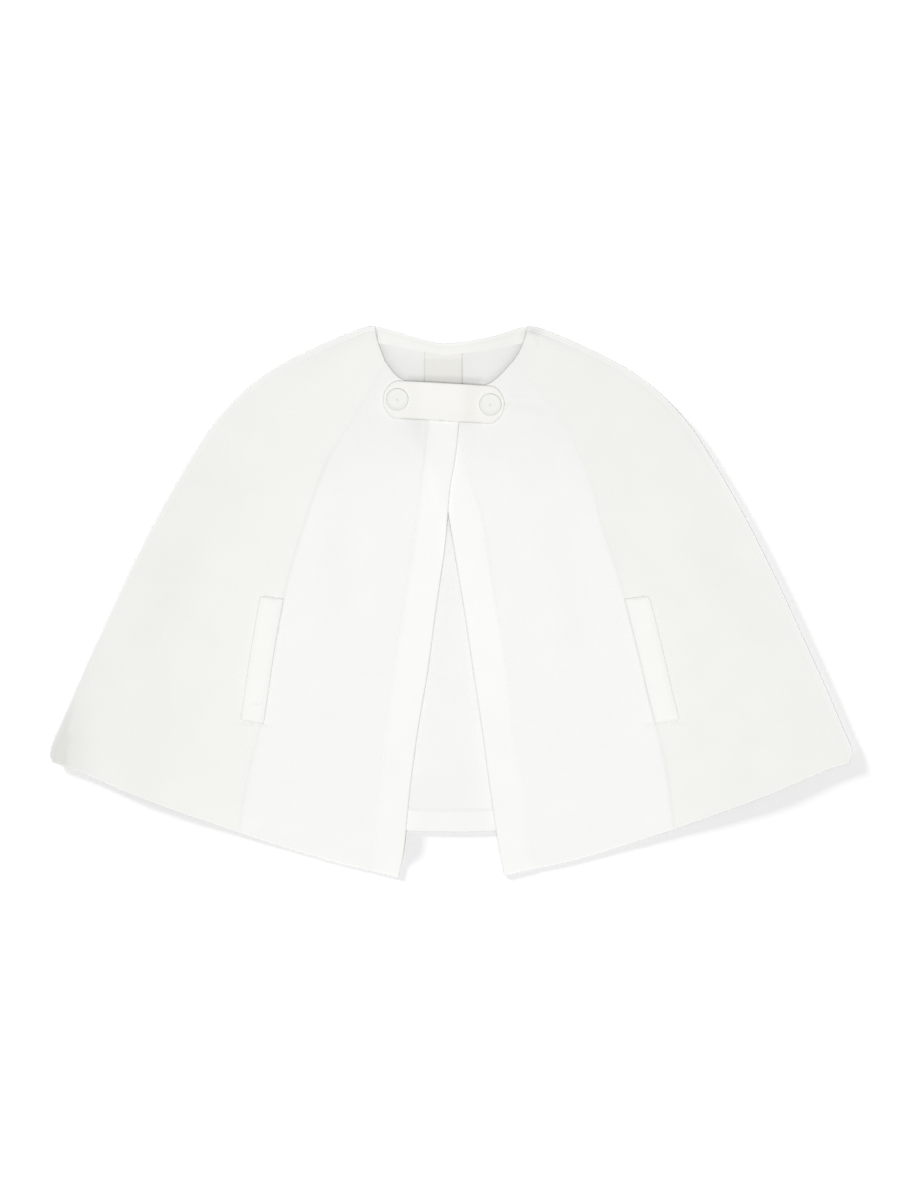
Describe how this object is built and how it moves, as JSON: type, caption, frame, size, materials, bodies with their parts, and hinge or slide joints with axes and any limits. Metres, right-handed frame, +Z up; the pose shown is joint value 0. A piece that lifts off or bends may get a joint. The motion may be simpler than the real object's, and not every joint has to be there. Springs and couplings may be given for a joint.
{
  "type": "child's buttoned cape laid flat",
  "caption": "Flared wool cape laid flat, front up, with a round neck, a buttoned neck tab, front bands, curved front seams and hand-slit welts.",
  "frame": {"origin": "on the surface that the cape lies on, under the middle of its box", "axes": "+Z up out of the surface, +Y to the neck, +X to the wearer's left side"},
  "size_m": [0.6412, 0.4402, 0.0141],
  "materials": {
    "outer_wool": "smooth off-white wool coating, matte, with a short nap",
    "inner_wool": "inside of the same coating, matte",
    "label_satin": "woven label, bare, slight satin sheen",
    "button": "satin off-white"
  },
  "bodies": {
    "root": {"back_panel": "inner_wool", "back_neck_facing": "inner_wool", "back_hem_facing": "inner_wool", "neck_label": "label_satin", "side_panel_right": "outer_wool", "side_panel_left": "outer_wool", "front_panel_right": "outer_wool", "front_panel_left": "outer_wool", "front_band_right": "outer_wool", "front_band_left": "outer_wool", "welt_right": "outer_wool", "welt_left": "outer_wool", "neck_tab": "outer_wool", "button_right": "button", "button_left": "button"}
  },
  "joints": []
}
